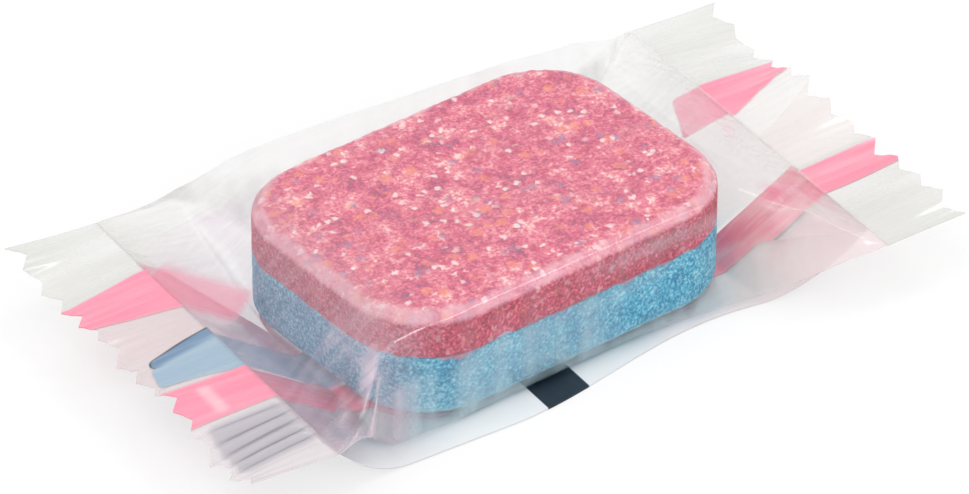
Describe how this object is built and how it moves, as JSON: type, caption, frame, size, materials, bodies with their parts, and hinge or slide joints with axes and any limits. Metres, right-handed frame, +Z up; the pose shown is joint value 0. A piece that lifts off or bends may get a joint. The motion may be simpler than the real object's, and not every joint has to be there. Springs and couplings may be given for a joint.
{
  "type": "wrapped dishwasher tablet",
  "caption": "Rounded, layered dishwasher tablet sealed in a loose clear flow-wrap film, with a folded fin beneath it and ribbed end seals cut in a zigzag.",
  "frame": {"origin": "middle of the pack on the surface that it lies on", "axes": "+X along the pack from the left end seal to the right one, +Y across it towards the back, away from the folded fin, +Z up"},
  "size_m": [0.07, 0.038, 0.0108],
  "materials": {
    "wrapper_film": "clear glossy film, printed on its underside",
    "pink_powder": "pressed powder with white and red grains",
    "blue_powder": "pressed powder, light blue"
  },
  "bodies": {
    "root": {"film_wrapper": "wrapper_film", "tablet_top_layer": "pink_powder", "tablet_bottom_layer": "blue_powder"}
  },
  "joints": []
}
